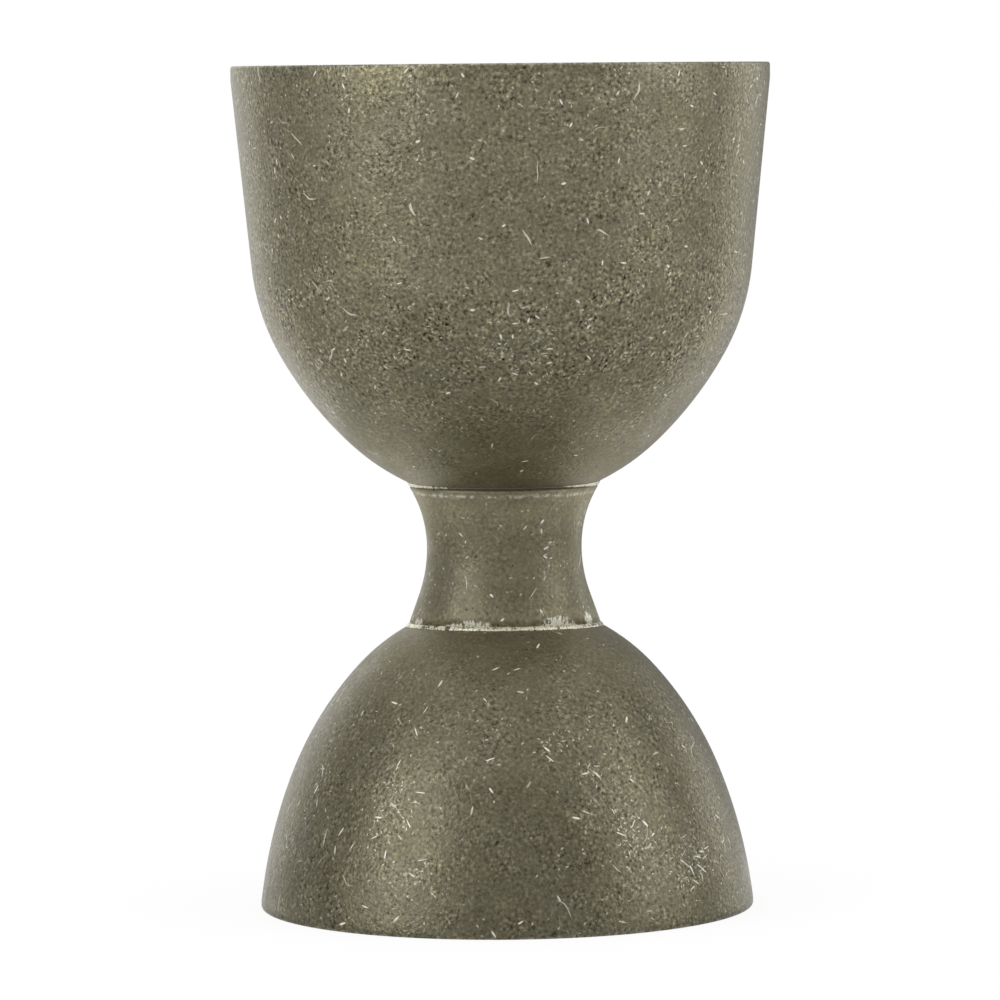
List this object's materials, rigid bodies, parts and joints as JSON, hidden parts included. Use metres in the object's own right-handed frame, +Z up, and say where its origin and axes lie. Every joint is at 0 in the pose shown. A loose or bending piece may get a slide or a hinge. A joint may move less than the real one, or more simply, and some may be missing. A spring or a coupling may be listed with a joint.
{
  "type": "double-ended spirit measure",
  "caption": "Bell-shaped double measure: a deep cup above and a shallow cup below, joined nose to nose by a waisted tube.",
  "frame": {"origin": "centre of the foot, which is the lower cup's mouth, on the plane that the measure stands on", "axes": "+Z up along the axis of both cups, towards the larger cup's mouth; all pieces are round about it, so X and Y are free"},
  "size_m": [0.053, 0.053, 0.0832],
  "materials": {
    "antiqued_pewter": "tumbled dull grey with a warm tinge and fine bright scratches",
    "worn_solder": "bright where it was dressed, with dark flecks"
  },
  "bodies": {
    "root": {"upper_cup": "antiqued_pewter", "lower_cup": "antiqued_pewter", "waist_tube": "antiqued_pewter", "upper_solder_joint": "worn_solder", "lower_solder_joint": "worn_solder"}
  },
  "joints": []
}
